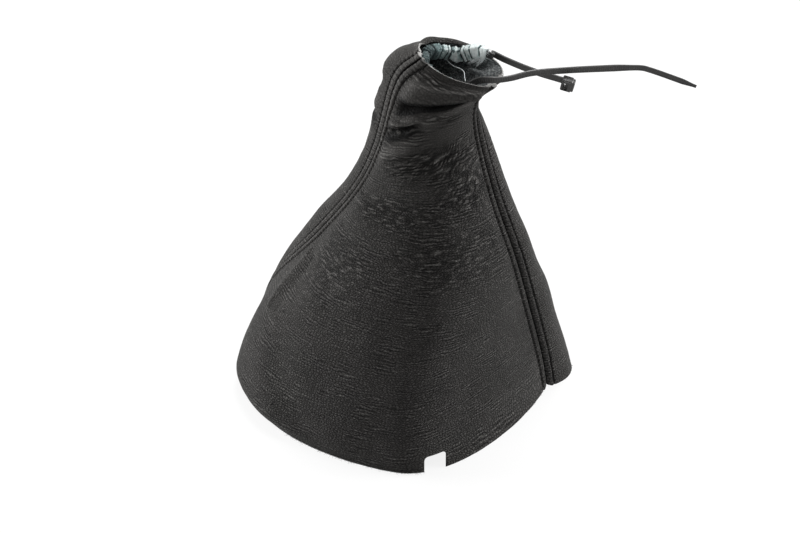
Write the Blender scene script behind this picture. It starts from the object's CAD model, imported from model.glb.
import math
import random

import bpy
import numpy as np
from mathutils import Matrix, Vector, noise


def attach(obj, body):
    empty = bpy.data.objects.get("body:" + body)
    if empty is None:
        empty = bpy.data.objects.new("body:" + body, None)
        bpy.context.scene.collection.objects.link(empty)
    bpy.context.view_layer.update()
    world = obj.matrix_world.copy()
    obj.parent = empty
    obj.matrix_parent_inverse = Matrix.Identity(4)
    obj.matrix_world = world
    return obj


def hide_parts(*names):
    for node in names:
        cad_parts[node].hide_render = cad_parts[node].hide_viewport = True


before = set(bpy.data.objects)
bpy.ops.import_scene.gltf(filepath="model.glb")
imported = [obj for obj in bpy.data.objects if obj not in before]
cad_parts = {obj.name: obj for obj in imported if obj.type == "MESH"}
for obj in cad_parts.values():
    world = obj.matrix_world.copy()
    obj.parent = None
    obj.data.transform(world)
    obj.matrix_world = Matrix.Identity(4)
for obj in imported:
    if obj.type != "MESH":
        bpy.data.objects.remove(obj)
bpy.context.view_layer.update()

random.seed(7)

# The shape is drawn in millimetres in the drawing's own frame, whose origin is the middle of the
# hem as the photo shows it. ORIGIN is where the row's origin lies in that frame.
MM = 0.001
ORIGIN = np.array([28.767, -0.412, 0.0])

# The leather and its seams. The profile lists (distance from the seam, rise of the skin), and each
# dip where a stitch pulls the hide in has a depth, a distance from the seam and half widths.
WALL = 1.2
CLEARANCE = 0.3
SEAM_ALLOWANCE = 8.0
TAB_WIDTH = 33.0
TAB_FOOT, TAB_LEVEL = 0.87, 0.9
WELT_SET = 2.2
STITCH_SET = 4.8
SEAM_FLAT = 6.6
SEAM_STEPS, SEAM_STEP = 18, 0.43
SEAM_TRIM_HEIGHT, SEAM_TRIM_WIDTH = 1.3, 3.0
SEAM_PROFILE = ((0, -1.1), (0.35, 0.1), (0.9, 0.85), (WELT_SET, 1.0), (3.8, 0.75),
                (STITCH_SET, -0.85), (5.6, 0.25), (8, 0))
SEAM_HEM_SHARE, SEAM_HEM_LEVEL = 0.3, 0.05
STITCH_PITCH, STITCH_DRIFT = 3.0, 0.5
STITCH_DIP, STITCH_DIP_NEAR, STITCH_DIP_FAR = 0.45, 0.9, 2.4
WELT_DIP, WELT_DIP_SET, WELT_DIP_HALF = 0.3, 0.7, 1.1

# Unevenness of the hide all over: size and rise of its swells and waves, and the rise of the
# fine ones away from the neck and what is added at the neck
SWELL_SIZE, SWELL_RISE = 26.0, 1.1
WAVE_SIZE, WAVE_RISE = 9.0, 0.35
FINE_SIZE, FINE_RISE, FINE_NECK_RISE = 2.6, 0.06, 0.04
FINE_STRETCH = np.array([0.45, 0.45, 1.6])

# How fine the panels are: rows below the folds, millimetres between the rows above, and columns
ROWS_BELOW = {"front": 190, "back": 150}
ROW_STEP = {"front": 0.42, "back": 0.6}
COLUMNS = {"front": 201, "back": 161}

# The notch in the front hem
NOTCH_CENTRE, NOTCH_WIDTH, NOTCH_HEIGHT, NOTCH_CORNER, NOTCH_SEGMENTS = 16.0, 11.5, 8.5, 2.0, 5

# Sections of the skin, hem first: right seam x y z, left seam x y z, front and back bulge,
# drop and rise in degrees, and how full the front right, front left, back right, back left are
SECTIONS = np.array([
    (80.5, -8, 0, -83, 40, 0, 101, 64, 0, 0, -0.29, 0.42, 0.7, 0.2),
    (76.5, -8, 22.5, -81, 36, 17.5, 97, 65, 4, 0, -0.37, 0.6, 0.63, 0.15),
    (69.5, -8, 50.5, -74, 30, 50, 77, 58.5, 1.4, 0, -0.31, 0.28, 0.64, 0.05),
    (59.5, -9.4, 88, -46, 14, 91, 48, 40, 0, 0, -0.2, 0.07, 0.69, 0.47),
    (46.5, -10.8, 128.5, -25.5, 2.3, 124.5, 28, 33.5, 0, 0, -0.1, 0.06, 0.73, 0.6),
    (37, -7, 166.3, -13.6, -5, 154, 18, 25, 4, 4.5, 0, 0.12, 0.6, 0.9),
    (37.7, -6, 183.4, -4, -3.5, 191.5, 14, 26.4, 10, 5, 0, -0.05, 0.16, 1),
    (46.5, -5.5, 192, 7.5, -7, 206.5, 7, 24, 20, 10, 0.15, -0.3, 0.75, 0.4),
])
BULGE = {"front": 6, "back": 7}
LEAN = {"front": 8, "back": 9}
FULL = {"front": (10, 11), "back": (12, 13)}
POWER = {"front": (1.1, 1.05), "back": (1.25, 1.0)}
SIGN = {"front": 1, "back": -1}
UP = np.array([0.0, 0.0, 1.0])
FORWARD = np.array([-0.06, -1.0, 0.0]) / math.hypot(0.06, 1.0)

# The collar hangs over a crease that climbs to the right, with a second crease below its left
# half. Each fold lists (millimetres above the crease, rise of the skin), and SAG how far the lip
# drops. ENDS are the shares of the width where a fold starts, is whole, fades and stops.
CREASE_LEVEL = 0.85
CREASE = {
    "front": (0.965, 0.935, 0.886, 0.850, 0.827, 0.815),
    "back": (0.95, 0.9, 0.86, 0.845, 0.83, 0.815),
}
LEVEL_LENGTH = 150.0
COLLAR = ((-8, 0), (-4.5, -1.2), (-1.6, -3.4), (0, -4.2), (0.9, -2.6), (2.2, 2.4), (3.6, 4.2), (5, 4.4),
          (9, 3.6), (14, 1.4), (19, 0))
SAG = ((-0.5, 0), (1, -1.2), (2.4, -2.6), (5, -1.6), (9, 0))
LOWER_FOLD = ((-24, 0), (-15, 1.2), (-10, 1.0), (-8.2, -1.8), (-6.6, 1.6), (-4, 0.9), (-1.0, 0))
FOLD_FOOT = -24.0
COLLAR_SHARE = {"front": 1.0, "back": 0.45}
COLLAR_ENDS = (0.1, 0.24, 0.72, 0.94)
LOWER_FOLD_ENDS = (0.52, 0.72, 0.88, 0.97)
NECK_FOOT, NECK_LEVEL = 0.5, 0.74

# How dark the skin is in the two creases, and how light beside them, which is below 0. The band
# under the collar starts at a foot that is nearer the crease at the left.
HOLLOWS = ((-9, 0), (-5, -0.35), (-1.8, -0.35), (-0.8, 0.1), (0, 1.2))
HOLLOW_FOOT, HOLLOW_CLIMB, HOLLOW_CLIMB_ENDS, HOLLOW_TOP = -6.0, 3.0, (0.35, 0.64), (2.0, 4.0)
HOLLOW_ENDS = (0.1, 0.2, 0.72, 0.96)
LOWER_HOLLOWS = ((-19, 0), (-16, -0.4), (-13, -0.34), (-11.8, 0.2), (-10.8, 1.15), (-7.8, 0.9),
                 (-6.6, 0), (5, 0), (9, -0.32), (17, -0.32), (22, -0.1))
RIM_SHADE_ENDS = (0.82, 0.92)
TAB_SHADE_WIDTH = 1.3

# The valley at the left of the front: its foot and head as (level, share)
VALLEY_DEPTH, VALLEY_HALF_WIDTH, VALLEY_FADE = 2.2, 13.0, 0.1
VALLEY_FOOT, VALLEY_HEAD = (0.12, 0.6), (0.4, 0.88)

# A pin hole in the front panel, as (share, level), and the panel's width and length there
PIN_HOLE, PIN_SHADE = (0.68, 0.158), 1.6
PANEL_SPAN = (270.0, 235.0)

# The far rim rolls inwards over the casing. Its last rows are speckled with paler, worn hide.
ROLL_RADIUS, ROLL_TURN, ROLL_LEAST_TURN, ROLL_STEPS = 1.9, 150.0, 14.0, 12
ROLL_START, ROLL_FADE, ROLL_ROW = 31.0, 10.0, 0.45
SPECKLED_ROWS, SPECK_LIGHT = ROLL_STEPS + 5, 0.9

# The casing and its gathers
CASING_WALL, CASING_LEVEL, CASING_SPAN, CASING_EASE = 0.5, 0.965, 0.03, 0.36
CASING_STOPS, CASING_ROUNDING = 26, 6
CASING_SIDES, PUFF_RINGS = 32, 16
GATHER_PITCH, GATHER_RISE, PUFF_RISE, PUFF_BASE = 4.0, 0.4, 1.25, 0.55
PUFF_SIZES, PUFF_SKEW, PUFF_HELD = (0.55, 1.25), 0.22, 2.0
PLEAT_SHARE, PLEATS, CRUMPLE = 0.14, 3, 0.1
FAR_END_ANGLE, NEAR_END_ANGLE = 54.0, 84.0
FAR_END_LIFT, NEAR_END_LIFT, END_REACH = 9.5, 1.0, 16.0
NEAR_DROP, NEAR_INSET = 7.0, 1.0
CLOTH_AROUND, CLOTH_ALONG = 0.7, 2.2
CLEAN_END = (17, 33)

# The tie
TIE_WIDTH, TIE_THICKNESS = 3.6, 1.2
HEAD_LENGTH, HEAD_WIDTH, HEAD_HEIGHT = 6.8, 6.8, 5.0
SLOT_WIDTH, SLOT_HEIGHT = 4.2, 1.8
TIP_LENGTH, TIP_WIDTH, TIP_THICKNESS = 22.0, 1.6, 0.8
HEAD_STRETCH = ((82, -4, 192.2), (66, 0.2, 195.6), (52, 4.4, 199.8), (44.5, 6.6, 202.6))
TAIL_STRETCH = (
    (37, -6.6, 193.6), (42, -9, 195.4), (47.5, -10.2, 196), (54, -9.8, 196.8), (64, -8.4, 198.8),
    (82, -4, 198.2), (99.5, 1, 196.6), (114, 4.8, 195.2), (123, 6.8, 194), (127, 7.4, 192.6),
    (139, 8, 187.8), (152, 8, 182.6),
)
LEAD_OUT = 3.5
TAIL_LENGTH = 125.0
TAIL_LEAN = np.array([0.0, 0.2, 1.0])

# The strap's outline as shares of its width and thickness, with the channel of its teeth on one
# face, and where it narrows: distances from the tip, and how much of the narrowing is done there
STRAP_RINGS = 900
STRAP_OUTLINE = np.array([(-0.5, -0.3), (-0.44, -0.5), (0.44, -0.5), (0.5, -0.3), (0.5, 0.3), (0.45, 0.5),
                          (0.33, 0.5), (0.3, 0.22), (-0.3, 0.22), (-0.33, 0.5), (-0.45, 0.5), (-0.5, 0.3)])
CHANNEL = slice(7, 9)
TOOTH_PITCH, TOOTH_RISE, TEETH_START, TEETH_FADE = 1.25, 0.24, (60, 64), 2.0
TIP_TAPER = ((48, 34, 0.35), (9, 0, 0.65))

# What is joined to the block of the tie's head, or cut out of it: name, size, place, rounding of
# the edges, its steps, and the operation
HEAD_STEP, HEAD_ROUNDING, HEAD_SMOOTH_ANGLE = 1.1, 0.7, 32.0
HEAD_BLOCKS = (
    ("end", (2.6, HEAD_WIDTH - 0.9, HEAD_HEIGHT - 0.7), (1.3 - HEAD_LENGTH / 2, 0, 0), 0.6, 3, "UNION"),
    ("frame_edge", (3.6, HEAD_WIDTH - 1.0, 0.6), (0.4, 0, -HEAD_HEIGHT / 2), 0.2, 2, "UNION"),
    ("slot", (SLOT_HEIGHT + 0.4, SLOT_WIDTH, 2 * HEAD_HEIGHT), (0.9, -0.5, 0), 0.3, 2, "DIFFERENCE"),
    ("pawl", (1.3, SLOT_WIDTH - 0.9, HEAD_HEIGHT - 1.2), (0.5, -0.5, 0.3), 0.3, 2, "UNION"),
)

# A stitch: (share of its half length, share of its radius, height) of each ring
STITCH_SIDES, STITCH_RADIUS, STITCH_HALF = 6, 0.28, 1.15
STITCH_RINGS = ((-1, 0.35, -0.35), (-0.7, 0.95, 0.05), (0, 1.05, 0.14), (0.7, 0.95, 0.05), (1, 0.35, -0.35))
STITCH_START, STITCH_END = 10.0, 2.0

# Rows of suede hairs: side, shares of the width, level, how many, and their lengths
HAIRS = (
    ("front", (0.02, 0.98), 0.0, 420, (0.4, 1.3)),
    ("front", (0.37, 0.66), 0.0, 300, (0.8, 2.2)),
    ("back", (0.02, 0.98), 0.0, 260, (0.3, 0.9)),
    ("front", (0.04, 0.96), 1.0, 150, (0.25, 0.8)),
    ("back", (0.02, 0.40), 1.0, 190, (0.25, 0.8)),
)
HAIR_RADII, HAIRLESS = (0.05, 0.12), (0.30, 0.365)
STRAND_SIDES, STRAND_STEPS, LEAST_HEIGHT = 3, 4, 0.02

# The frayed end of the casing, the fuzz along its first stretch, and one loose sewing thread
FRAYED_STRANDS, FRAYED_RADII = 95, (0.1, 0.22)
FUZZ_PLACES, FUZZ_EACH, FUZZ_RADIUS = 40, 3, 0.045
LOOSE_ROUTE = ((20.5, 14.5, 196), (24.8, 8, 194.8), (29.8, 3, 194.6), (30.6, -3, 193.4), (30.8, -6.5, 193.2))
LOOSE_RINGS, LOOSE_SIDES, LOOSE_RADIUS = 40, 6, 0.2

# Camera and light, in metres apart from the camera's, which are in the drawing's millimetres
CAMERA_ELEVATION, CAMERA_DISTANCE, CAMERA_TARGET = 33.0, 1050.0, np.array([-2.75, 0.0, 75.7])
LENS, SENSOR_WIDTH = 86.0, 36.0
LAMPS = (
    ("left", (-1.25, 0.3, 0.4), 0.6, 23),
    ("right", (1.25, 0.2, 0.45), 0.6, 22),
    ("top_back", (0.1, 0.75, 1.45), 0.6, 19),
    ("top", (-0.1, -0.75, 1.6), 0.5, 4),
)
LAMP_AIM = (0, 0, 0.1)
WHITE, FILL_LIGHT, FLOOR_GLOW = (1, 1, 1, 1), 0.18, 0.86
FLOOR_SIZE, FLOOR_DROP = 12.0, 0.0002


# Curves and steps

def smoothstep(value, low, high):
    share = np.clip((np.asarray(value, float) - low) / (high - low), 0, 1)
    return share * share * (3 - 2 * share)


def unit(vectors):
    vectors = np.asarray(vectors, float)
    return vectors / np.maximum(np.linalg.norm(vectors, axis=-1, keepdims=True), 1e-12)


def squared(vectors, along):
    """Vectors turned square to a direction"""
    return unit(vectors - along * (vectors * along).sum(-1, keepdims=True))


def travelled(points):
    """How far along a line each of its points lies"""
    return np.concatenate([[0], np.cumsum(np.linalg.norm(np.diff(points, axis=0), axis=1))])


def followed(wanted, lengths, line):
    """The points of a line at the wanted lengths"""
    return np.stack([np.interp(wanted, lengths, line[:, k]) for k in range(3)], axis=1)


def through(values, share):
    """A smooth curve through evenly spaced values"""
    values = np.asarray(values, float)
    last = len(values) - 1
    place = np.clip(share, 0, 1) * last
    i = np.minimum(np.floor(place).astype(int), last - 1)
    marks = np.concatenate([[2 * values[0] - values[1]], values, [2 * values[-1] - values[-2]]])
    t = place - i
    if values.ndim > 1:
        t = t[..., None]
    a, b, c, d = (marks[i + k] for k in range(4))
    cubic = (3 * b - a - 3 * c + d) * t ** 3
    return 0.5 * (2 * b + (c - a) * t + (2 * a - 5 * b + 4 * c - d) * t * t + cubic)


def eased(marks, place):
    """Height between (place, height) marks, easing in and out of each mark"""
    place = np.asarray(place, float)
    height = np.full(place.shape, float(marks[0][1]))
    for (start, low), (stop, high) in zip(marks, marks[1:]):
        part = low + (high - low) * smoothstep(place, start, stop)
        height = np.where(place > start, part, height)
    return height


# The skin of the two panels

def seam_point(end, level):
    first = 0 if end == "right" else 3
    return through(SECTIONS[:, first:first + 3], level)


def skin(side, angle, level):
    """The outer skin: angle 0 is the right seam and pi the left one"""
    tracks = through(SECTIONS, level)
    right, left = tracks[..., 0:3], tracks[..., 3:6]
    sine, cosine = np.abs(np.sin(angle)), np.cos(angle)
    on_right = cosine > 0
    full = np.where(on_right, tracks[..., FULL[side][0]], tracks[..., FULL[side][1]])
    out = SIGN[side] * tracks[..., BULGE[side]] * sine ** np.where(on_right, *POWER[side])
    lean = np.radians(tracks[..., LEAN[side]])
    reach = cosine * (1 + full * sine) / 2
    return ((right + left) / 2 + (right - left) * reach[..., None]
            + FORWARD * (out * np.cos(lean))[..., None] - UP * (out * np.sin(lean))[..., None])


TABLE_LEVELS = np.linspace(0, 1, 241)
TABLE_SHARES = np.linspace(0, 1, 301)


def row_table(side):
    """For each level, the angle at even shares of the leather's length, and that length"""
    angles = np.linspace(0, math.pi, 400)
    points = skin(side, angles[None, :], TABLE_LEVELS[:, None] + 0 * angles[None, :])
    lengths = np.array([travelled(row) for row in points])
    table = [np.interp(TABLE_SHARES * row[-1], row, angles) for row in lengths]
    return np.array(table), lengths[:, -1]


ROWS = {side: row_table(side) for side in ("front", "back")}


def row_length(side, level):
    return np.interp(level, TABLE_LEVELS, ROWS[side][1])


def angle_at(side, share, level):
    table = ROWS[side][0]
    x = np.clip(share, 0, 1) * (len(TABLE_SHARES) - 1)
    y = np.clip(level, 0, 1) * (len(TABLE_LEVELS) - 1)
    i = np.minimum(x.astype(int), len(TABLE_SHARES) - 2)
    j = np.minimum(y.astype(int), len(TABLE_LEVELS) - 2)
    u, v = x - i, y - j
    low = table[j, i] * (1 - u) + table[j, i + 1] * u
    high = table[j + 1, i] * (1 - u) + table[j + 1, i + 1] * u
    return low * (1 - v) + high * v


def panel_point(side, share, level):
    level = np.clip(level, 0, 1)
    return skin(side, angle_at(side, share, level), level)


NUDGE = 0.006


def outward(side, share, level):
    across = panel_point(side, share + NUDGE, level) - panel_point(side, share - NUDGE, level)
    along = panel_point(side, share, level + NUDGE) - panel_point(side, share, level - NUDGE)
    return unit(SIGN[side] * np.cross(along, across))


def seam_frame(end, level):
    """Outwards between the panels at a seam, and across it towards the front"""
    level = np.asarray(level, float)
    before, after = (seam_point(end, np.clip(level + way * NUDGE, 0, 1)) for way in (-1, 1))
    along = unit(after - before)
    out = 0
    for side in ("front", "back"):
        step = SEAM_FLAT / row_length(side, level)
        out = out + outward(side, step if end == "right" else 1 - step, level)
    out = squared(out, along)
    across = np.cross(along, out)
    return out, across * np.sign((across * FORWARD).sum(-1, keepdims=True))


SEAM_LENGTHS = {end: travelled(seam_point(end, TABLE_LEVELS)) for end in ("right", "left")}


def allowance_of(side, end, level):
    wide = TAB_WIDTH if (side, end) == ("back", "right") else SEAM_ALLOWANCE
    return SEAM_ALLOWANCE + (wide - SEAM_ALLOWANCE) * smoothstep(level, TAB_FOOT, TAB_LEVEL)


def level_of(side, share, row):
    """Rows keep to the crease of the collar, and are level ones away from it"""
    hold = smoothstep(row, NECK_FOOT, NECK_LEVEL) * (1 - smoothstep(row, CREASE_LEVEL, 1))
    return row + (through(CREASE[side], share) - CREASE_LEVEL) * hold


def window(place, ends):
    """1 between the two middle ends, easing to 0 at the outer ones"""
    start, whole, fade, stop = ends
    return smoothstep(place, start, whole) * (1 - smoothstep(place, fade, stop))


def folded(marks, ends, share, row):
    return window(share, ends) * eased(marks, (row - CREASE_LEVEL) * LEVEL_LENGTH)


def collar_shade(share, row):
    """Dark under the lip of the collar and lit below that"""
    above = (row - CREASE_LEVEL) * LEVEL_LENGTH
    foot = HOLLOW_FOOT + HOLLOW_CLIMB * smoothstep(share, *HOLLOW_CLIMB_ENDS)
    return window(share, HOLLOW_ENDS) * eased(HOLLOWS, above - foot) * (1 - smoothstep(above, *HOLLOW_TOP))


def valley_rise(share, row, width):
    (low, foot), (high, head) = VALLEY_FOOT, VALLEY_HEAD
    off = (share - foot - (head - foot) * (row - low) / (high - low)) * width / VALLEY_HALF_WIDTH
    ends = (low - VALLEY_FADE, low + VALLEY_FADE, high - VALLEY_FADE, high + VALLEY_FADE)
    return -VALLEY_DEPTH * window(row, ends) * np.exp(-off * off)


def fold_rise(side, share, row, from_seam):
    rise = folded(COLLAR, COLLAR_ENDS, share, row) + folded(LOWER_FOLD, LOWER_FOLD_ENDS, share, row)
    rise = COLLAR_SHARE[side] * rise
    if side == "front":
        rise = rise + valley_rise(share, row, row_length(side, row))
    return rise * smoothstep(from_seam, WELT_SET, 1.8 * SEAM_FLAT)


def speckle(points, size, seed):
    """Smooth noise from -1 to 1 at each point, with features of about the given size"""
    shift = Vector((seed * 17.3, seed * 5.1, seed * 9.7))
    values = [noise.noise(Vector(point) / size + shift) for point in np.reshape(points, (-1, 3))]
    return np.reshape(values, np.shape(points)[:-1])


# Small creases of the front panel: places as (share from the right seam, level), then the depth
# and half width in millimetres. A negative depth is a ridge.
FRONT_CREASES = (
    (((0.80, 0.700), (0.62, 0.716), (0.42, 0.735)), 0.7, 1.6),
    (((0.74, 0.672), (0.52, 0.690), (0.30, 0.700)), 0.6, 1.5),
    (((0.62, 0.640), (0.42, 0.655), (0.22, 0.668)), 0.5, 1.6),
    (((0.90, 0.590), (0.70, 0.575), (0.52, 0.585)), 0.9, 3.5),
    (((0.88, 0.490), (0.66, 0.470), (0.46, 0.492)), 0.9, 4.5),
    (((0.30, 0.560), (0.18, 0.520), (0.10, 0.470)), 0.8, 4.0),
    (((0.70, 0.360), (0.52, 0.345), (0.36, 0.370)), 0.8, 6.0),
    (((0.30, 0.300), (0.20, 0.240), (0.13, 0.160)), 0.7, 6.0),
    (((0.940, 0.400), (0.905, 0.350), (0.865, 0.290)), -1.3, 3.0),
    (((0.900, 0.400), (0.865, 0.350), (0.830, 0.300)), 0.7, 2.6),
)
CREASE_STEPS, CREASE_TAPER, CREASE_STRETCH = 40, 2.5, 1.3


def crease_rise(share, level):
    """The small creases of the front panel, each narrower towards its ends"""
    rise = np.zeros(share.shape)
    width = row_length("front", level)
    for places, depth, half_width in FRONT_CREASES:
        track = through(np.array(places), np.linspace(0, 1, CREASE_STEPS))
        nearest = np.full(share.shape, 1e9)
        for k, (at_share, at_level) in enumerate(track):
            end = abs(2 * k / (len(track) - 1) - 1)
            off = np.hypot((share - at_share) * width, (level - at_level) * CREASE_STRETCH * LEVEL_LENGTH)
            nearest = np.minimum(nearest, off * (1 + CREASE_TAPER * end ** 4))
        rise -= depth * np.exp(-(nearest / half_width) ** 2)
    return rise


# Wrinkled places of the front panel: share, level, half width in share, half height in level,
# height and pitch of the wrinkles in millimetres, and how steeply they climb to the right
WRINKLED = (
    (0.72, 0.948, 0.20, 0.034, 0.55, 2.0, -0.15),
    (0.40, 0.945, 0.16, 0.024, 0.14, 2.2, -0.10),
    (0.76, 0.780, 0.16, 0.018, 0.60, 1.9, 0.25),
    (0.40, 0.812, 0.26, 0.016, 0.42, 1.8, 0.10),
    (0.36, 0.690, 0.34, 0.044, 0.62, 2.3, 0.12),
    (0.66, 0.690, 0.20, 0.030, 0.18, 2.2, 0.10),
    (0.22, 0.615, 0.20, 0.050, 0.34, 2.3, 0.55),
    (0.64, 0.570, 0.30, 0.045, 0.26, 2.4, -0.10),
    (0.30, 0.480, 0.30, 0.060, 0.20, 2.6, 0.20),
    (0.76, 0.430, 0.16, 0.080, 0.18, 2.6, -0.20),
)
WRINKLE_REACH, WRINKLE_RISE, WRINKLE_SHADE, WRINKLE_WARP = 2.2, 1.6, 1.5, 5.5


def wrinkle_rise(share, level, uv):
    """Rise of the wrinkled places, and how wrinkled each point is, from -1 in a furrow to 1"""
    rise, mark = np.zeros(share.shape), np.zeros(share.shape)
    for k, (at_share, at_level, half_share, half_level, height, pitch, slant) in enumerate(WRINKLED):
        off = ((share - at_share) / half_share) ** 2 + ((level - at_level) / half_level) ** 2
        near = off < WRINKLE_REACH
        u, v = uv[near].T
        warp = speckle(np.stack([u / 7, v / 3.2, 0 * u + k], 1), 1.0, 11)
        weight = speckle(np.stack([u / 4.5, v / 1.8, 0 * u + 0.5 + k], 1), 1.0, 12)
        wave = 0.5 + 0.5 * np.sin(2 * math.pi * (v + slant * u) / pitch + WRINKLE_WARP * warp)
        ridge = wave ** 2 * np.clip(0.7 + 1.6 * weight, 0, 1.4)
        fade = np.exp(-(off[near] ** 1.5))
        rise[near] += WRINKLE_RISE * height * (ridge - 0.3) * fade
        mark[near] += WRINKLE_SHADE * (ridge - 0.35) * fade * min(1, height / 0.3)
    return rise, mark


def grid_places(side, rows, middle):
    """Where the columns of each row lie: close together along the seams and even in between"""
    steps = np.concatenate([np.arange(SEAM_STEPS) * SEAM_STEP, [SEAM_ALLOWANCE, SEAM_ALLOWANCE + CLEARANCE]])
    shares, distances = [], []
    for row in rows:
        length = row_length(side, row)
        right, left = steps / length, 1 - steps[::-1] / length
        between = np.linspace(right[-1], left[0], middle + 2)[1:-1]
        shares.append(np.concatenate([right, between, left]))
        distances.append(np.concatenate([steps, np.minimum(between, 1 - between) * length, steps[::-1]]))
    end = np.repeat([1, 0, -1], [len(steps), middle, len(steps)])
    share = np.array(shares)
    return share, np.repeat(np.array(rows)[:, None], share.shape[1], 1), np.array(distances), end


def uneven_rise(point, level, from_seam):
    """Swells and waves of the hide, which is held flat at the seams and at the hem"""
    neck = smoothstep(level, 0.55, 0.8)
    swell = SWELL_RISE * speckle(point, SWELL_SIZE, 1) * smoothstep(level, 0, 0.06)
    wave = WAVE_RISE * speckle(point, WAVE_SIZE, 2) * (0.4 + 0.8 * neck)
    fine = speckle(point * FINE_STRETCH, FINE_SIZE, 3) * (FINE_RISE + FINE_NECK_RISE * neck)
    return smoothstep(from_seam, 0.5 * SEAM_FLAT, 2 * SEAM_FLAT) * (swell + wave + fine)


def stitch_dips(from_seam, phase):
    """How far each stitch pulls the hide in, at its holes and over the welt beside them"""
    hole = (0.5 + 0.5 * np.cos(2 * math.pi * phase)) ** 2
    half = np.where(from_seam < STITCH_SET, STITCH_DIP_NEAR, STITCH_DIP_FAR)
    dip = STITCH_DIP * np.exp(-((from_seam - STITCH_SET) / half) ** 2)
    return hole * (dip + WELT_DIP * np.exp(-((from_seam - WELT_DIP_SET) / WELT_DIP_HALF) ** 2))


def leather_grid(side, rows, middle):
    """Outer and inner points of a panel, with what its texture and its stitches need"""
    share, row, from_seam, end = grid_places(side, rows, middle)
    trim = np.maximum(0, 1 - from_seam / SEAM_TRIM_WIDTH) * SEAM_TRIM_HEIGHT / LEVEL_LENGTH
    level = np.maximum(level_of(side, share, row), trim)
    point, out = panel_point(side, share, level), outward(side, share, level)
    seam_along = np.zeros(share.shape)
    for name, flag in (("right", 1), ("left", -1)):
        frame_out, across = seam_frame(name, level)
        half = (share < 0.5) == (name == "right")
        blend = (1 - smoothstep(from_seam, 0, SEAM_FLAT))[..., None]
        here = ((from_seam < SEAM_FLAT) & half)[..., None]
        out = np.where(here, unit(out * (1 - blend) + frame_out * blend), out)
        edge = (from_seam == 0) & (end == flag)
        point = point + np.where(edge[..., None], across * SIGN[side] * CLEARANCE / 2, 0)
        seam_along = np.where(half, np.interp(level, TABLE_LEVELS, SEAM_LENGTHS[name]), seam_along)
    foot = (1 - smoothstep(level, 0, 0.02))[..., None]
    out = unit(out * (1 - foot) + unit(out * (1 - UP)) * foot)
    climb = travelled(panel_point(side, np.full(len(TABLE_LEVELS), 0.5), TABLE_LEVELS))
    uv = np.stack([(share - 0.5) * row_length(side, level), np.interp(level, TABLE_LEVELS, climb)], axis=-1)

    full = SEAM_HEM_SHARE + (1 - SEAM_HEM_SHARE) * smoothstep(level, 0, SEAM_HEM_LEVEL)
    clear = smoothstep(from_seam, WELT_SET, 1.6 * SEAM_FLAT)
    jitter = speckle(np.stack([seam_along * 0.09, 0 * row, 0 * row], -1), 1.0, 5)
    phase = seam_along / STITCH_PITCH + STITCH_DRIFT * jitter
    rise = full * (eased(SEAM_PROFILE, from_seam) - stitch_dips(from_seam, phase))
    rise = rise + fold_rise(side, share, row, from_seam) + uneven_rise(point, level, from_seam)
    mark = 0
    if side == "front":
        wrinkled, mark = wrinkle_rise(share, level, uv)
        rise = rise + clear * (crease_rise(share, level) + wrinkled)
    allowance = np.where(share < 0.5, *(allowance_of(side, name, level) for name in ("right", "left")))
    layers = np.where(from_seam <= allowance + 1e-6, 2, 1)
    outer = point + out * rise[..., None]
    inner = point + out * (rise - layers * WALL)[..., None]
    sag = folded(SAG, COLLAR_ENDS, share, row) * smoothstep(from_seam, WELT_SET, 2 * SEAM_FLAT)
    for face in (outer, inner):
        if side == "front":
            face += UP * sag[..., None]
        face[0, :, 2] = np.where(trim[0] > 0, face[0, :, 2], 0)

    pressed = collar_shade(share, row) + folded(LOWER_HOLLOWS, LOWER_FOLD_ENDS, share, row)
    hollow = np.clip(COLLAR_SHARE[side] * pressed * clear - mark, -1, 1)
    beside = (layers == 1) & (from_seam < allowance + TAB_SHADE_WIDTH)
    step = (beside & (allowance > SEAM_ALLOWANCE + 4)).astype(float)
    if side == "front":
        step[-1] = smoothstep(share[-1], *RIM_SHADE_ENDS)
        hollow[-1] = np.maximum(hollow[-1], step[-1])
        across, along = ((place_on - at) * span for place_on, at, span in
                         zip((share, level), PIN_HOLE, PANEL_SPAN))
        hollow.flat[np.argmin(np.hypot(across, along))] = PIN_SHADE
    return {"outer": outer, "inner": inner, "out": out, "share": share, "level": level, "uv": uv,
            "hollow": hollow, "step": step, "from_seam": from_seam, "layers": layers,
            "seam_along": phase * STITCH_PITCH, "end": end}


def roll_rim(grid, side):
    """Adds rows that roll the rim inwards and down"""
    length = row_length(side, 1.0)
    share, out, layers = grid["share"][-1], grid["out"][-1], grid["layers"][-1]
    right = smoothstep(share * length, ROLL_START, ROLL_START + ROLL_FADE)
    left = smoothstep((1 - share) * length, SEAM_FLAT, SEAM_FLAT + ROLL_FADE)
    turn = np.radians(ROLL_LEAST_TURN + (ROLL_TURN - ROLL_LEAST_TURN) * right * left)
    angle = turn * (np.arange(1, ROLL_STEPS + 1) / ROLL_STEPS)[:, None]
    spoke = out * np.cos(angle)[..., None] + UP * np.sin(angle)[..., None]
    radius = ROLL_RADIUS + (layers - 1) * WALL
    centre = grid["outer"][-1] - out * radius[:, None]
    for face, reach in (("outer", radius), ("inner", radius - layers * WALL)):
        grid[face] = np.concatenate([grid[face], centre + spoke * reach[:, None]])


# Meshes

def place(points):
    """Drawing millimetres to the row's metres"""
    return (np.asarray(points, float) - ORIGIN) * MM


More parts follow.
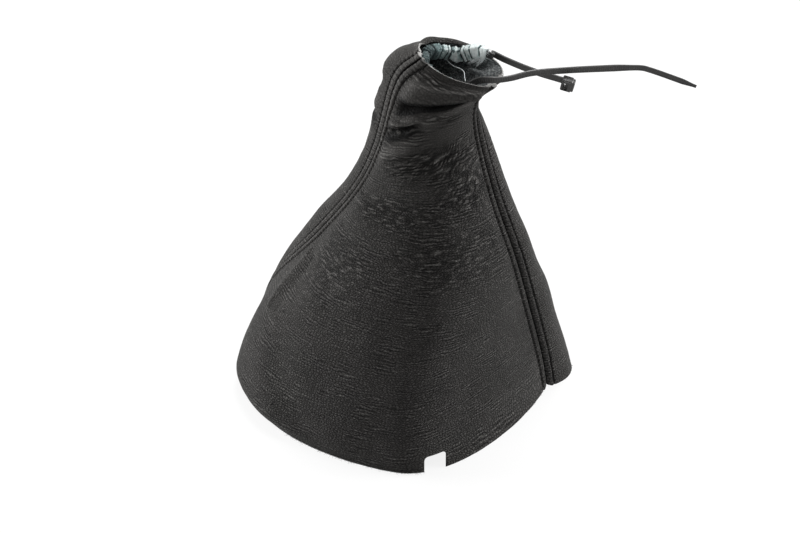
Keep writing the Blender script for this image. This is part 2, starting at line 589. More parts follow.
def mesh_object(name, points, faces, maps=None, slots=None, smooth=True, tracks=None):
    mesh = bpy.data.meshes.new(name)
    mesh.from_pydata(np.asarray(points).tolist(), [], faces)
    if slots is not None:
        mesh.polygons.foreach_set("material_index", slots)
    corners = np.empty(len(mesh.loops), dtype=np.int32)
    mesh.loops.foreach_get("vertex_index", corners)
    for label, values in (maps or {}).items():
        layer = mesh.uv_layers.new(name=label)
        layer.data.foreach_set("uv", np.asarray(values)[corners].astype(np.float32).ravel())
    for label, values in (tracks or {}).items():
        track = mesh.attributes.new(label, "FLOAT", "POINT")
        track.data.foreach_set("value", np.asarray(values, np.float32))
    mesh.polygons.foreach_set("use_smooth", [smooth] * len(mesh.polygons))
    mesh.update()
    obj = bpy.data.objects.new(name, mesh)
    bpy.context.scene.collection.objects.link(obj)
    return obj


GRAIN, FLESH, CUT = 0, 1, 2


def sheet_object(name, outer, inner, maps, tracks):
    """A closed sheet: a fine grid outside, every second point of one inside, cut edges between"""
    high, wide = outer.shape[:2]
    i, j = high // 2, wide // 2
    facing = np.cross(outer[i, j + 1] - outer[i, j], outer[i + 1, j] - outer[i, j])
    turned = np.dot(facing, outer[i, j] - inner[i, j]) < 0
    inner = inner[::2, ::2]
    at = np.arange(high * wide).reshape(high, wide)
    low = high * wide + np.arange(inner.shape[0] * inner.shape[1]).reshape(inner.shape[:2])

    def faces_of(*corners):
        return np.stack([corner.ravel() for corner in corners], axis=1)

    def edge(fine, coarse, backwards):
        a, b, c, d, e = fine[:-2:2], fine[1::2], fine[2::2], coarse[:-1], coarse[1:]
        strip = np.concatenate([faces_of(a, b, d), faces_of(b, e, d), faces_of(b, c, e)])
        return strip[:, ::-1] if backwards else strip

    front = faces_of(at[:-1, :-1], at[:-1, 1:], at[1:, 1:], at[1:, :-1])
    back = faces_of(low[:-1, :-1], low[1:, :-1], low[1:, 1:], low[:-1, 1:])
    rim = np.concatenate([edge(at[:, 0], low[:, 0], False), edge(at[:, -1], low[:, -1], True),
                          edge(at[0], low[0], True), edge(at[-1], low[-1], False)])
    faces = [part[:, ::-1] if turned else part for part in (front, back, rim)]
    slots = [GRAIN] * len(front) + [FLESH] * len(back) + [CUT] * len(rim)
    points = place(np.concatenate([outer.reshape(-1, 3), inner.reshape(-1, 3)]))
    both = {label: np.concatenate([grid.reshape(-1, 2), grid[::2, ::2].reshape(-1, 2)])
            for label, grid in maps.items()}
    return mesh_object(name, points, sum((part.tolist() for part in faces), []), both, slots, tracks=tracks)


def panel_rows(side):
    """Levels of a panel's rows, an odd count, so that every second one can be kept inside"""
    lowest = CREASE_LEVEL + FOLD_FOOT / LEVEL_LENGTH
    below = np.linspace(0, lowest, ROWS_BELOW[side], endpoint=False)
    above = np.linspace(lowest, 1, int((1 - lowest) * LEVEL_LENGTH / ROW_STEP[side]) + 1)
    rows = np.concatenate([below, above])
    return np.concatenate([rows[:1], [rows[1] / 2], rows[1:]]) if len(rows) % 2 == 0 else rows


def panel(name, side, rolled):
    grid = leather_grid(side, panel_rows(side), COLUMNS[side])
    seam = np.stack([grid["from_seam"], grid["seam_along"]], -1)
    uv, hollow, step = grid["uv"], grid["hollow"], grid["step"]
    if rolled:
        roll_rim(grid, side)
        climb = np.repeat(np.arange(1, ROLL_STEPS + 1)[:, None] * ROLL_ROW, uv.shape[1], 1)
        uv = np.concatenate([uv, uv[-1] + np.stack([0 * climb, climb], -1)])
        seam, hollow, step = (np.concatenate([grown, np.repeat(grown[-1:], ROLL_STEPS, 0)])
                              for grown in (seam, hollow, step))
        specks = np.array([random.random() for _ in range(hollow[-SPECKLED_ROWS:].size)]) ** 3
        hollow[-SPECKLED_ROWS:] -= SPECK_LIGHT * specks.reshape(-1, hollow.shape[1])
    tracks = {"hollow": np.concatenate([hollow.ravel(), step[::2, ::2].ravel()])}
    maps = {"Leather": uv * MM, "Seam": seam}
    return sheet_object(name, grid["outer"], grid["inner"], maps, tracks), grid


def rounded_block(name, size, at, rounding, segments=3):
    """A block of the given size and place in millimetres, with its edges rounded"""
    bpy.ops.object.select_all(action="DESELECT")
    bpy.ops.mesh.primitive_cube_add(size=1, location=[value * MM for value in at])
    block = bpy.context.object
    block.name = block.data.name = name
    block.scale = [value * MM for value in size]
    bpy.ops.object.transform_apply(location=True, rotation=False, scale=True)
    edges = block.modifiers.new("rounding", "BEVEL")
    edges.width, edges.segments = rounding * MM, segments
    bpy.ops.object.modifier_apply(modifier=edges.name)
    return block


def join_or_cut(body, tool, operation):
    bpy.ops.object.select_all(action="DESELECT")
    bpy.context.view_layer.objects.active = body
    change = body.modifiers.new("change", "BOOLEAN")
    change.object, change.operation, change.solver = tool, operation, "EXACT"
    bpy.ops.object.modifier_apply(modifier=change.name)
    bpy.data.objects.remove(tool, do_unlink=True)


def cut_notch(hide):
    """Cuts the rounded notch up from the hem of the front panel"""
    depth = SECTIONS[0][BULGE["front"]]
    at = np.array([NOTCH_CENTRE, -WALL - depth / 2, 0]) - ORIGIN
    block = rounded_block("notch", (NOTCH_WIDTH, depth, 2 * NOTCH_HEIGHT), at, NOTCH_CORNER, NOTCH_SEGMENTS)
    join_or_cut(hide, block, "DIFFERENCE")


# The casing and the tie

def centripetal(points, count):
    """Evenly spaced points and directions on a centripetal curve through the given points"""
    points = np.asarray(points, float)
    marks = np.concatenate([[2 * points[0] - points[1]], points, [2 * points[-1] - points[-2]]])
    fine = []
    for p0, p1, p2, p3 in zip(marks, marks[1:], marks[2:], marks[3:]):
        gaps = [math.sqrt(np.linalg.norm(b - a)) for a, b in ((p0, p1), (p1, p2), (p2, p3))]
        d0, d1, d2 = (gap if gap > 1e-4 else 1.0 for gap in gaps)
        m1 = ((p1 - p0) / d0 - (p2 - p0) / (d0 + d1) + (p2 - p1) / d1) * d1
        m2 = ((p2 - p1) / d1 - (p3 - p1) / (d1 + d2) + (p3 - p2) / d2) * d1
        t = np.linspace(0, 1, 40, endpoint=False)[:, None]
        fine.append((2 * t ** 3 - 3 * t ** 2 + 1) * p1 + (t ** 3 - 2 * t ** 2 + t) * m1
                    + (3 * t ** 2 - 2 * t ** 3) * p2 + (t ** 3 - t ** 2) * m2)
    fine = np.concatenate(fine + [points[-1:]])
    lengths = travelled(fine)
    even = followed(np.linspace(0, lengths[-1], count), lengths, fine)
    return even, unit(np.gradient(even, axis=0)), lengths[-1]


def neck_axis():
    front, back = (skin(side, np.array(math.pi / 2), np.array(1.0)) for side in ("front", "back"))
    across = seam_point("right", np.array(1.0)) - seam_point("left", np.array(1.0))
    return unit(np.cross(across, back - front))


NECK_AXIS = neck_axis()
BORE_HEIGHT = TIE_WIDTH + 2 * (CLEARANCE + CASING_EASE)
BORE_THICKNESS = TIE_THICKNESS + 2 * (CLEARANCE + CASING_EASE)
CASING_HEIGHT = BORE_HEIGHT + 2 * (CASING_WALL + GATHER_RISE)
CASING_THICKNESS = BORE_THICKNESS + 2 * (CASING_WALL + GATHER_RISE)


def casing_route():
    """The line of the casing inside the neck, from its far end round to its near one"""
    last = CASING_STOPS
    turns = np.linspace(math.radians(FAR_END_ANGLE), 2 * math.pi - math.radians(NEAR_END_ANGLE), last + 1)

    def ring(level):
        levels = np.full(turns.shape, level)
        on_back = skin("back", turns, levels)
        on_front = skin("front", 2 * math.pi - turns, levels)
        return np.where((turns < math.pi)[:, None], on_back, on_front)

    def neighbours(loop):
        return loop[np.maximum(np.arange(last + 1) - 1, 0)], loop[np.minimum(np.arange(last + 1) + 1, last)]

    points = ring(CASING_LEVEL)
    before, after = neighbours(points)
    inwards = -unit(np.cross(after - before, NECK_AXIS))
    leans = [((ring(CASING_LEVEL + way * CASING_SPAN) - points) * inwards).sum(1) for way in (-1, 1)]
    on_front = smoothstep(turns, 0.8 * math.pi, 1.4 * math.pi)
    inset = np.maximum(0, np.maximum(*leans)) + 2 * WALL + CLEARANCE + CASING_THICKNESS / 2
    inset = inset + NEAR_INSET * on_front
    loop = points + inwards * inset[:, None] - NECK_AXIS * (NEAR_DROP * on_front)[:, None]
    rounded = loop
    for _ in range(CASING_ROUNDING):
        before, after = neighbours(rounded)
        rounded = (2 * rounded + before + after) / 4
        rounded[0], rounded[-1] = loop[0], loop[-1]
    lengths = travelled(rounded)
    lift = FAR_END_LIFT * (1 - smoothstep(lengths, 0, END_REACH))
    lift = lift + NEAR_END_LIFT * (1 - smoothstep(lengths[-1] - lengths, 0, END_REACH))
    return rounded + NECK_AXIS * lift[:, None]


def flattened(value):
    """Pulls the cosine or sine of a circle out towards a square with round corners"""
    return np.sign(value) * np.sqrt(np.abs(value))


def frames(points, along, wide):
    wide = squared(wide, along)
    return wide, np.cross(along, wide)


def ring_quads(rings, sides, start=0, turned=False):
    faces = []
    for i in range(rings - 1):
        for j in range(sides):
            a, b = start + i * sides + j, start + i * sides + (j + 1) % sides
            face = (a, b, b + sides, a + sides)
            faces.append(face[::-1] if turned else face)
    return faces


def rod_faces(rings, sides, start=0):
    """Faces of a rod: quads between its rings, and one face over each end"""
    last = start + (rings - 1) * sides
    ends = [tuple(range(start, start + sides))[::-1], tuple(range(last, last + sides))]
    return ring_quads(rings, sides, start) + ends


def circle(sides, shift=0.0):
    turn = 2 * math.pi * (np.arange(sides) + shift) / sides
    return turn, np.cos(turn), np.sin(turn)


def casing(route):
    """The gathered cloth tube: upright puffs of uneven size with tight pinches in between"""
    length = centripetal(route, 50)[2]
    puffs = int(round(length / GATHER_PITCH))
    count, skip = puffs * PUFF_RINGS + 1, PUFF_RINGS // 2
    points, along, _ = centripetal(route, count)
    wide, out = frames(points, along, np.repeat(NECK_AXIS[None], count, 0))
    turn, cosine, sine = circle(CASING_SIDES, 0.5)
    up, across = flattened(cosine), flattened(sine)
    sizes = np.array([random.uniform(*PUFF_SIZES) for _ in range(puffs + 4)])
    phase = np.linspace(0, puffs, count)
    phase = (phase + 0.25 * np.sin(phase * 2.1) + 0.14 * np.sin(phase * 5.3 + 1))[:, None]
    skews = [random.uniform(-PUFF_SKEW, PUFF_SKEW) for _ in range(puffs + 2)]
    lean = phase + np.interp(phase, np.arange(puffs + 2), skews) * up + 0.06 * np.sin(3 * turn + 2.0 * phase)
    swell = np.abs(np.sin(math.pi * lean)) ** 0.6
    size = sizes[np.clip(np.floor(lean).astype(int) + 2, 0, puffs + 3)]
    pleat = PLEAT_SHARE * np.sin(2 * math.pi * lean * PLEATS + 2 * sine)
    place_along = np.linspace(0, length, count)
    held = smoothstep(np.minimum(place_along, place_along[::-1]), 0, PUFF_HELD)[:, None]
    grow = PUFF_RISE * (swell * (size + pleat) * held - PUFF_BASE)
    crumple = CRUMPLE * np.sin(7 * turn + 9 * phase)
    sunk = 0.3 * (1 - swell.mean(1))[::skip, None]

    def tube(rings, height, thick):
        return (points[rings, None] + wide[rings, None] * (height * up)[..., None]
                + out[rings, None] * (thick * across)[..., None])

    outer = tube(slice(None), CASING_HEIGHT / 2 + 0.9 * grow + crumple, CASING_THICKNESS / 2 + grow + crumple)
    inner = tube(slice(None, None, skip), BORE_HEIGHT / 2 - sunk, BORE_THICKNESS / 2 - sunk)
    sides, start = CASING_SIDES, count * CASING_SIDES
    faces = ring_quads(count, sides) + ring_quads(len(inner), sides, start, turned=True)
    end, last = (count - 1) * sides, start + (len(inner) - 1) * sides
    for j in range(sides):
        k = (j + 1) % sides
        faces.append((k, j, start + j, start + k))
        faces.append((end + j, end + k, last + k, last + j))
    around = np.repeat((np.arange(sides) * CLOTH_AROUND)[None], count, 0)
    run = np.repeat((place_along * CLOTH_ALONG)[:, None], sides, 1)
    uv = np.stack([around, run], -1)
    clean = np.repeat((1 - smoothstep(place_along, *CLEAN_END))[:, None], sides, 1)
    tracks = {"puff": np.concatenate([swell.ravel(), np.full(inner[..., 0].size, 0.6)]),
              "clean": np.concatenate([clean.ravel(), clean[::skip].ravel()])}
    vertices = np.concatenate([outer.reshape(-1, 3), inner.reshape(-1, 3)])
    maps = {"Cloth": np.concatenate([uv.reshape(-1, 2), uv[::skip].reshape(-1, 2)]) * MM}
    return mesh_object("tie_casing_cloth", place(vertices), faces, maps, tracks=tracks)


def tie_route(route):
    inside, along, _ = centripetal(route, 31)
    held = [inside[0] - along[0] * LEAD_OUT, *inside, inside[-1] + along[-1] * LEAD_OUT]
    return np.array([*HEAD_STRETCH, *held, *TAIL_STRETCH], float)


def strap(route):
    """The strap: a band with rounded edges and a channel of fine teeth, and where its head sits"""
    points, along, length = centripetal(route, STRAP_RINGS)
    travel = np.linspace(0, length, STRAP_RINGS)
    lean = smoothstep(travel, length - TAIL_LENGTH, length)[:, None]
    wide, out = frames(points, along, NECK_AXIS * (1 - lean) + unit(TAIL_LEAN) * lean)
    taper = sum(share * smoothstep(travel, length - start, length - stop) for start, stop, share in TIP_TAPER)
    width = TIE_WIDTH + (TIP_WIDTH - TIE_WIDTH) * taper
    thickness = TIE_THICKNESS + (TIP_THICKNESS - TIE_THICKNESS) * taper
    toothed = window(travel, (*TEETH_START, length - TIP_LENGTH - TEETH_FADE, length - TIP_LENGTH))
    outline = np.repeat(STRAP_OUTLINE[None], STRAP_RINGS, 0)
    outline[:, CHANNEL, 1] += (TOOTH_RISE * (travel / TOOTH_PITCH % 1.0) * toothed)[:, None]
    rings = (points[:, None] + wide[:, None] * (outline[..., 0] * width[:, None])[..., None]
             + out[:, None] * (outline[..., 1] * thickness[:, None])[..., None])
    faces = rod_faces(STRAP_RINGS, len(STRAP_OUTLINE))
    obj = mesh_object("tie_strap", place(rings.reshape(-1, 3)), faces, smooth=False)
    return obj, (points[0], along[0], wide[0], out[0])


def tie_head(centre, along, wide, out):
    """The head: a block with a stepped end, a slot for the strap and the pawl that shows in it"""
    size = (HEAD_LENGTH - HEAD_STEP, HEAD_WIDTH, HEAD_HEIGHT)
    head = rounded_block("tie_head", size, (HEAD_STEP / 2, 0, 0), HEAD_ROUNDING)
    for name, size, at, rounding, segments, operation in HEAD_BLOCKS:
        join_or_cut(head, rounded_block(name, size, at, rounding, segments), operation)
    turn = Matrix([[*row, 0] for row in np.stack([along, wide, out], axis=1)] + [[0, 0, 0, 1]])
    shift = centre - along * (HEAD_LENGTH / 2 - TIE_THICKNESS) + out * (TIE_THICKNESS / 2 - HEAD_HEIGHT / 2)
    head.data.transform(Matrix.Translation(place(shift)) @ turn)
    bpy.context.view_layer.objects.active = head
    head.select_set(True)
    bpy.ops.object.shade_smooth_by_angle(angle=math.radians(HEAD_SMOOTH_ANGLE))
    return head


def rods(name, shapes, sides, least_height=None):
    """Thin rods in one piece. Each shape is a list of (centre, radius, first way, second way) rings."""
    _, cosine, sine = circle(sides)
    vertices, faces = [], []
    for rings in shapes:
        faces += rod_faces(len(rings), sides, len(vertices) * sides)
        vertices += [centre + radius * (first * cosine[:, None] + second * sine[:, None])
                     for centre, radius, first, second in rings]
    vertices = np.concatenate(vertices)
    if least_height is not None:
        vertices[:, 2] = np.maximum(vertices[:, 2], least_height)
    return mesh_object(name, place(vertices), faces)


def stitches(name, rows):
    """Short thread stitches that lie in the dips along the seams"""
    shapes = []
    for points, along, out in rows:
        for at, way, up, across in zip(points, along, out, np.cross(along, out)):
            shapes.append([(at + way * step * STITCH_HALF + up * height, STITCH_RADIUS * swell, across, up)
                           for step, swell, height in STITCH_RINGS])
    return rods(name, shapes, STITCH_SIDES)


def stitch_rows(grid):
    """Places of the stitches on one panel, read from its skin at the topstitching distance"""
    rows = []
    high = len(grid["level"])
    for flag in (1, -1):
        off = np.abs(grid["from_seam"][0] - STITCH_SET)
        pick = np.argmin(np.where(grid["end"] == flag, off, off.max()))
        line, lengths = grid["outer"][:high, pick], grid["seam_along"][:, pick]
        wanted = np.arange(STITCH_START + STITCH_PITCH / 2, lengths[-1] - STITCH_END, STITCH_PITCH)
        along = unit(followed(wanted + 1, lengths, line) - followed(wanted - 1, lengths, line))
        out = squared(followed(wanted, lengths, grid["out"][:, pick]), along)
        rows.append((followed(wanted, lengths, line), along, out))
    return rows


def strands(name, threads):
    """Fine loose strands, each a bent taper: root, direction, length, radius and bend"""
    shapes = []
    for root, way, long, radius, bend in threads:
        way = unit(way)
        first = unit(np.cross(way, (0.31, 0.52, 0.80)))
        second = np.cross(way, first)
        shapes.append([(root + way * long * t + bend * long * t * t, radius * (1.1 - t), first, second)
                       for t in np.linspace(0, 1, STRAND_STEPS)])
    return rods(name, shapes, STRAND_SIDES, LEAST_HEIGHT)


def scattered(size):
    return np.array([random.uniform(-1, 1) for _ in range(3)]) * size


def hide_fibres():
    """Short suede hairs along the hem, the near rim and the lobe at the right of the far rim"""
    threads = []
    for side, shares, level, count, lengths in HAIRS:
        share = np.array([random.uniform(*shares) for _ in range(count)])
        low = np.full(count, level)
        points, out = panel_point(side, share, low), outward(side, share, np.clip(low, 0.01, 0.99))
        for k in range(count):
            if level == 0 and side == "front" and HAIRLESS[0] < share[k] < HAIRLESS[1]:
                continue
            depth = random.uniform(0.1, 0.95) * WALL
            way = UP if level else out[k] * 0.9 + UP * 0.1
            root = points[k] - out[k] * (depth if level else 0.35 * depth) + UP * (0 if level else 0.25)
            threads.append((root, way + scattered(0.7), random.uniform(*lengths),
                            random.uniform(*HAIR_RADII), scattered(0.5)))
    return strands("suede_hairs", threads)


def frayed_cloth(route):
    """White strands of the weave that hang from the cut end of the casing, and its short fuzz"""
    points, along, _ = centripetal(route, 60)
    up, front = NECK_AXIS * CASING_HEIGHT / 2, FORWARD * CASING_THICKNESS / 2
    threads = []
    for _ in range(FRAYED_STRANDS):
        at = points[0] + along[0] * random.uniform(0, 2.5)
        ring = up * random.uniform(-1, 1) - FORWARD * random.uniform(-1, 0.4)
        if random.random() < 0.5:
            way, long = np.array([-0.8, -0.45, -0.5]), random.uniform(2, 8.5)
            ring = -up * random.uniform(0.2, 1) + FORWARD * random.uniform(0.6, 1.6)
        else:
            way, long = np.array([0.75, -0.2, 0.25]), random.uniform(0.8, 3.0)
        threads.append((at + ring, way + scattered(0.35), long,
                        random.uniform(*FRAYED_RADII), scattered(0.28)))
    for at in np.repeat(points[:FUZZ_PLACES], FUZZ_EACH, 0):
        root = at + up * random.uniform(-1, 1) + front
        threads.append((root, FORWARD + scattered(1.2), random.uniform(0.4, 1.4),
                        FUZZ_RADIUS, scattered(0.6)))
    return strands("frayed_cloth", threads)


def loose_thread():
    """The end of a sewing thread that hangs in the mouth of the neck"""
    points, along, _ = centripetal(LOOSE_ROUTE, LOOSE_RINGS)
    first = unit(np.cross(along, UP))
    shape = [(at, LOOSE_RADIUS, *ways) for at, *ways in zip(points, first, np.cross(along, first))]
    return rods("loose_thread", [shape], LOOSE_SIDES)


# Finishes

class Value:
    """A number that changes over a surface. Sums, products and powers of it add the Math nodes."""

    def __init__(self, nodes, socket):
        self.nodes, self.socket = nodes, socket

    def math(self, operation, first, second, **settings):
        return self.nodes.node("ShaderNodeMath", {"operation": operation, **settings}, first, second)

    def __add__(self, other):
        return self.math("ADD", self, other)

    def __sub__(self, other):
        return self.math("SUBTRACT", self, other)

    def __rsub__(self, other):
        return self.math("SUBTRACT", other, self)

    def __mul__(self, other):
        return self.math("MULTIPLY", self, other)

    def __pow__(self, other):
        return self.math("POWER", self, other)

    __radd__, __rmul__ = __add__, __mul__

    def clamped(self):
        return self.math("ADD", self, 0.0, use_clamp=True)

    def greater(self, other):
        return self.math("MAXIMUM", self, other)

    def to_and_fro(self, half):
        """Runs from 0 up to half and down again, over and over"""
        return self.math("PINGPONG", self, half)


class Nodes:
    """The nodes of a material or of the world"""

    def __init__(self, tree):
        self.tree = tree
        tree.nodes.clear()

    def set(self, socket, value):
        if isinstance(value, Value):
            self.tree.links.new(value.socket, socket)
        else:
            socket.default_value = value

    def node(self, kind, settings, *values, out=0, **named):
        """Adds a node: its settings first, then the values or links of its sockets"""
        node = self.tree.nodes.new(kind)
        for key, value in settings.items():
            if key == "stops":
                ramp = node.color_ramp.elements
                while len(ramp) < len(value):
                    ramp.new(0.5)
                for element, (position, color) in zip(ramp, value):
                    element.position, element.color = position, (*color, 1)
            else:
                setattr(node, key, value)
        for socket, value in zip(node.inputs, values):
            self.set(socket, value)
        for key, value in named.items():
            self.set(node.inputs[key.replace("_", " ")], value)
        return Value(self, node.outputs[out])

    def shown_white(self):
        """1 for what the camera, gloss and glass see, which is the white backdrop"""
        seen, gloss, glass = (self.node("ShaderNodeLightPath", {}, out=f"Is {ray} Ray")
                              for ray in ("Camera", "Glossy", "Transmission"))
        return seen.greater(gloss).greater(glass)


class Finish(Nodes):
    """A material, with the patterns that this object's finishes share"""

    def __init__(self, name, **constants):
        self.material = bpy.data.materials.new(name)
        self.material.use_nodes = True
        super().__init__(self.material.node_tree)
        self.shader = self.tree.nodes.new("ShaderNodeBsdfPrincipled")
        self.output = self.tree.nodes.new("ShaderNodeOutputMaterial")
        self.tree.links.new(self.shader.outputs[0], self.output.inputs[0])
        self.surface(**constants)

    def surface(self, **links):
        for socket, value in links.items():
            self.set(self.shader.inputs[socket.replace("_", " ")], value)
        return self.material

    def uv(self, name):
        return self.node("ShaderNodeUVMap", {"uv_map": name})

    def part(self, vector, axis):
        return self.node("ShaderNodeSeparateXYZ", {}, vector, out="XYZ".index(axis))

    def track(self, name):
        """What a piece's mesh holds for each of its points"""
        return self.node("ShaderNodeAttribute", {"attribute_name": name}, out=2)

    def stretched(self, source, across, along):
        return self.node("ShaderNodeMapping", {}, Vector=source, Scale=(across, along, 1))

    def noise(self, vector, scale, detail, roughness, kind="3D", out=0):
        return self.node("ShaderNodeTexNoise", {"noise_dimensions": kind}, out=out, Vector=vector,
                         Scale=scale, Detail=detail, Roughness=roughness)

    def solid_noise(self, scale, detail, roughness):
        place_in_piece = self.node("ShaderNodeTexCoord", {}, out="Object")
        return self.noise(place_in_piece, scale, detail, roughness)

    def flat_noise(self, uv, across, along, detail, roughness, out=0):
        return self.noise(self.stretched(uv, across, along), 1.0, detail, roughness, "2D", out)

    def bands(self, vector, direction, scale, distortion, detail, out=0, **more):
        return self.node("ShaderNodeTexWave", {"bands_direction": direction}, out=out, Vector=vector,
                         Scale=scale, Distortion=distortion, Detail=detail, **more)

    def ramped(self, value, low, high):
        """Eases from 0 at low to 1 at high"""
        settings = {"interpolation_type": "SMOOTHSTEP"}
        return self.node("ShaderNodeMapRange", settings, value, low, high, 0.0, 1.0)

    def strip(self, value, start, whole, fade, stop):
        """1 between whole and fade, easing to 0 at start and at stop"""
        return self.ramped(value, start, whole) * (1.0 - self.ramped(value, fade, stop))

    def colored(self, value, *stops):
        return self.node("ShaderNodeValToRGB", {"stops": stops}, value)

    def shaded(self, color, share):
        return self.node("ShaderNodeVectorMath", {"operation": "SCALE"}, color, Scale=share)

    def bump(self, height, distance, strength=1.0, **below):
        return self.node("ShaderNodeBump", {}, Height=height, Distance=distance, Strength=strength, **below)


def leather_grain():
    """Matt charcoal hide: grain cells and furrows drawn out across the panel, pinched at the stitches"""
    finish = Finish("leather_grain", Specular_IOR_Level=0.08, Sheen_Weight=0.02, Sheen_Roughness=0.4)
    uv, stitched, hollow = finish.uv("Leather"), finish.uv("Seam"), finish.track("hollow")
    across, climb = finish.part(uv, "X"), finish.part(uv, "Y")
    from_seam, along = finish.part(stitched, "X"), finish.part(stitched, "Y")

    drift = finish.flat_noise(uv, 170, 170, 2.0, 0.5, out=1)
    warped = finish.node("ShaderNodeVectorMath", {"operation": "MULTIPLY_ADD"},
                         drift, (0.0016, 0.0012, 0), uv)
    cells = finish.node("ShaderNodeTexVoronoi", {"voronoi_dimensions": "2D", "feature": "DISTANCE_TO_EDGE"},
                        Vector=finish.stretched(warped, 520, 1000), Scale=1.0, Randomness=1.0)
    pebble = (cells * 2.4).clamped() ** 0.8
    pores = finish.flat_noise(uv, 2200, 3000, 2.0, 0.6)
    broad = finish.flat_noise(uv, 34, 60, 3.0, 0.6)
    lines = finish.bands(finish.stretched(uv, 0.4, 1), "Y", 190.0, 7.0, 2.0, out=1,
                         Detail_Scale=1.3, Detail_Roughness=0.6)
    crest, furrow = lines ** 5.0, (1.0 - lines) ** 4.0

    calm = finish.ramped(climb, 0.135, 0.185)
    worked = finish.ramped(finish.flat_noise(uv, 60, 150, 2.0, 0.6), 0.44, 0.66)
    worked = worked * (1.0 - finish.ramped(climb, 0.182, 0.196) * 0.8)
    pinch = 1.0 - finish.ramped((along * (1 / STITCH_PITCH)).to_and_fro(0.5), 0.02, 0.28)
    row = finish.strip(from_seam, 3.8, STITCH_SET, STITCH_SET + 0.1, 7.4)
    line = finish.strip(from_seam, 4.2, 4.6, 5.0, 5.4)
    welt = finish.strip(from_seam, 0.6, 1.2, 3.6, 4.6)
    left_welt = welt * finish.ramped(across, 0.0, 0.01)
    groove = 1.0 - finish.ramped(from_seam, 0.35, 0.85)

    tone = (broad * 0.24 + pebble * (0.52 - calm * 0.34) + calm * 0.19 + pores * 0.30
            + crest * (0.03 + worked * 0.38) - furrow * (0.05 + worked * 0.32)
            - hollow * 0.6 + left_welt * 0.2).clamped()
    color = finish.colored(
        tone, (0.18, (0.0062, 0.0060, 0.0056)), (0.50, (0.0250, 0.0239, 0.0226)),
        (0.72, (0.0420, 0.0402, 0.0382)), (1.0, (0.0950, 0.0920, 0.0880)))
    dark = (line * (0.68 + pinch * 0.32) + groove * 0.9 + pinch * welt * 0.45
            + finish.ramped(hollow, 0.1, 0.9) * 0.7).clamped()
    height = pebble * (0.75 - calm * 0.4) + pores * 0.1 + (crest * 0.5 - furrow * 0.5) * (0.1 + worked)
    pinched = finish.bump(pinch * row * -1.0, 0.0009)
    normal, rough = finish.bump(height, 0.0006, Normal=pinched), 0.62 - pebble * 0.1 + broad * 0.1
    return finish.surface(Base_Color=finish.shaded(color, 1.0 - dark), Roughness=rough, Normal=normal)


def leather_flesh():
    """Grey suede on the inner side of the hide"""
    finish = Finish("leather_flesh", Roughness=0.95, Specular_IOR_Level=0.1, Sheen_Weight=0.15,
                    Sheen_Roughness=0.6)
    uv = finish.uv("Leather")
    nap, patch = finish.flat_noise(uv, 700, 700, 3.0, 0.8), finish.flat_noise(uv, 160, 160, 3.0, 0.6)
    color = finish.colored((nap * 0.8 + patch * 0.3).clamped(), (0.38, (0.018, 0.021, 0.022)),
                           (0.58, (0.115, 0.124, 0.126)), (0.74, (0.44, 0.455, 0.45)))
    color = finish.shaded(color, 1.0 - finish.track("hollow") * 0.85)
    return finish.surface(Base_Color=color, Normal=finish.bump(nap, 0.0005, 0.9))


def leather_cut():
    """The raw cut edge of the hide, paler than either face"""
    finish = Finish("leather_cut", Roughness=0.9, Specular_IOR_Level=0.2)
    fibres = finish.solid_noise(1500.0, 3.0, 0.7)
    color = finish.colored(fibres, (0.3, (0.11, 0.11, 0.108)), (0.55, (0.32, 0.315, 0.305)),
                           (0.75, (0.56, 0.55, 0.54)))
    color = finish.shaded(color, 1.0 - finish.track("hollow") * 0.85)
    return finish.surface(Base_Color=color, Normal=finish.bump(fibres, 0.00025, 0.8))


def casing_cloth():
    """Thin pale woven cloth, dark teal where it is pinched and whitest at its clean end"""
    finish = Finish("casing_cloth", Roughness=0.85, Sheen_Weight=0.15)
    uv = finish.uv("Cloth")
    weft, warp = (finish.bands(uv, direction, 420.0, 1.2, 2.0) for direction in "XY")
    weave = weft * 0.5 + warp * 0.5
    patch, streak = finish.flat_noise(uv, 420, 110, 2.0, 0.65), finish.flat_noise(uv, 160, 900, 2.0, 0.6)
    puff = finish.ramped(finish.track("puff"), 0.1, 0.95)
    tone = puff * 0.62 + patch * 1.1 + streak * 0.45 + weave * 0.06 - 0.92
    tone = (tone * (0.12 + finish.track("clean") * 1.1)).clamped()
    color = finish.colored(tone, (0.02, (0.012, 0.024, 0.026)), (0.17, (0.13, 0.20, 0.20)),
                           (0.34, (0.50, 0.62, 0.61)), (0.52, (0.88, 0.95, 0.94)))
    return finish.surface(Base_Color=color, Normal=finish.bump(weave + streak, 0.0003, 0.7))


def plain_thread(name, dark, light):
    finish = Finish(name, Roughness=0.7, Sheen_Weight=0.2)
    twist = finish.solid_noise(1800.0, 2.0, 0.6)
    color = finish.colored(twist, (0.3, dark), (0.75, light))
    return finish.surface(Base_Color=color, Normal=finish.bump(twist, 0.0001, 0.6))


def tie_nylon():
    """Satin moulded nylon with faint flow marks and handling scuffs"""
    finish = Finish("tie_nylon", Specular_IOR_Level=0.5)
    scuff, cloud = finish.solid_noise(700.0, 4.0, 0.65), finish.solid_noise(90.0, 2.0, 0.5)
    color = finish.colored(scuff * 0.4 + cloud * 0.6, (0.3, (0.010, 0.0098, 0.0095)),
                           (0.8, (0.034, 0.033, 0.032)))
    return finish.surface(Base_Color=color, Roughness=0.34 + scuff * 0.22,
                          Normal=finish.bump(scuff, 0.00006, 0.5))


# Camera, light and floor

def aimed(name, data, location, aim):
    """A camera or a lamp at one place that looks at another"""
    obj = bpy.data.objects.new(name, data)
    bpy.context.scene.collection.objects.link(obj)
    obj.location = location
    obj.rotation_mode = "QUATERNION"
    obj.rotation_quaternion = (Vector(aim) - Vector(location)).to_track_quat("-Z", "Y")
    return obj


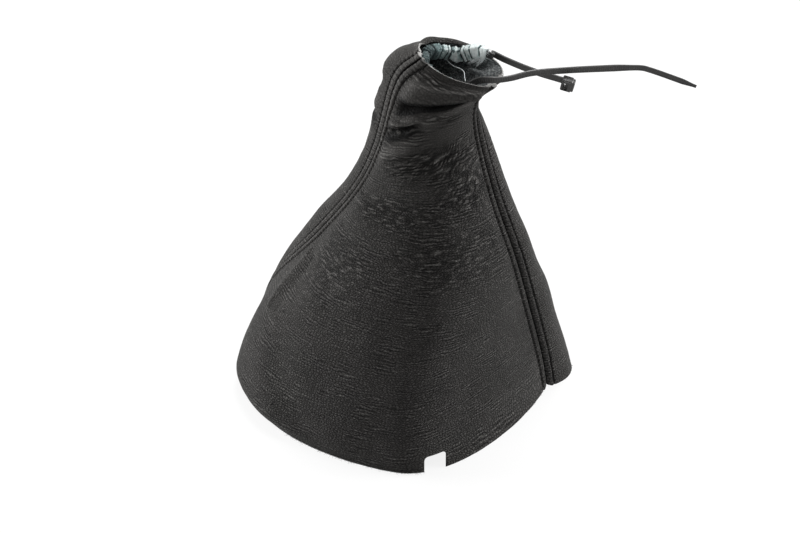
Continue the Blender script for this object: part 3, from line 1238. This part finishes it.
def camera():
    """The photo's view: down on the gaiter from the front, with a long lens"""
    elevation = math.radians(CAMERA_ELEVATION)
    back = np.array([0, -math.cos(elevation), math.sin(elevation)])
    data = bpy.data.cameras.new("camera")
    data.lens, data.sensor_width = LENS, SENSOR_WIDTH
    location = place(CAMERA_TARGET + back * CAMERA_DISTANCE)
    bpy.context.scene.camera = aimed("camera", data, location, place(CAMERA_TARGET))


def light():
    """A world that looks white but lights only faintly, and the lamps"""
    world = bpy.data.worlds.new("studio")
    bpy.context.scene.world = world
    world.use_nodes = True
    sky = Nodes(world.node_tree)
    fill, white = (sky.node("ShaderNodeBackground", {}, WHITE, strength) for strength in (FILL_LIGHT, 1.0))
    mix = sky.node("ShaderNodeMixShader", {}, sky.shown_white(), fill, white)
    sky.set(sky.tree.nodes.new("ShaderNodeOutputWorld").inputs[0], mix)
    for name, location, size, power in LAMPS:
        data = bpy.data.lights.new(name, "AREA")
        data.size, data.energy = size, power
        aimed(name, data, location, LAMP_AIM)


def stage():
    """A white floor that still takes a faint shadow"""
    bpy.ops.object.select_all(action="DESELECT")
    bpy.ops.mesh.primitive_plane_add(size=FLOOR_SIZE, location=(0, 0, -FLOOR_DROP))
    floor = bpy.context.object
    floor.name = "floor"
    finish = Finish("floor_white", Base_Color=(0.92, 0.92, 0.92, 1), Roughness=0.9, Specular_IOR_Level=0.1)
    glow = finish.node("ShaderNodeEmission", {}, WHITE, 1.0)
    matt = Value(finish, finish.shader.outputs[0])
    mix = finish.node("ShaderNodeMixShader", {}, finish.shown_white() * FLOOR_GLOW, matt, glow)
    finish.set(finish.output.inputs[0], mix)
    floor.data.materials.append(finish.material)


camera()
light()
stage()
bpy.context.scene.view_settings.view_transform = "Standard"

HIDE_FINISHES = leather_grain(), leather_flesh(), leather_cut()
CLOTH_FINISH, NYLON_FINISH = casing_cloth(), tie_nylon()
SEWING_THREAD = plain_thread("sewing_thread", (0.006, 0.006, 0.006), (0.026, 0.025, 0.025))
WHITE_THREAD = plain_thread("white_thread", (0.55, 0.60, 0.60), (0.84, 0.88, 0.88))
SUEDE_HAIR = plain_thread("suede_hair", (0.06, 0.06, 0.06), (0.26, 0.255, 0.25))

front, front_grid = panel("front_hide", "front", rolled=False)
back, back_grid = panel("back_hide", "back", rolled=True)
for hide in (front, back):
    for layer in HIDE_FINISHES:
        hide.data.materials.append(layer)
cut_notch(front)
sewing = stitches("topstitching", stitch_rows(front_grid) + stitch_rows(back_grid))
ROUTE = casing_route()
cloth = casing(ROUTE)
tie, head_frame = strap(tie_route(ROUTE))
head = tie_head(*head_frame)
hairs, frayed, thread = hide_fibres(), frayed_cloth(ROUTE), loose_thread()
for piece, finish in ((sewing, SEWING_THREAD), (cloth, CLOTH_FINISH), (tie, NYLON_FINISH),
                      (head, NYLON_FINISH), (hairs, SUEDE_HAIR), (frayed, WHITE_THREAD),
                      (thread, WHITE_THREAD)):
    piece.data.materials.append(finish)

for piece, slot in ((front, "leather"), (back, "leather"), (sewing, "leather"), (cloth, "casing_cloth"),
                    (tie, "nylon"), (head, "nylon"), (hairs, "leather"), (frayed, "casing_cloth"),
                    (thread, "casing_cloth")):
    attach(piece, "root")
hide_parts("front_panel")
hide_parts("back_panel")
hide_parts("tie_casing")
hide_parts("cable_tie")
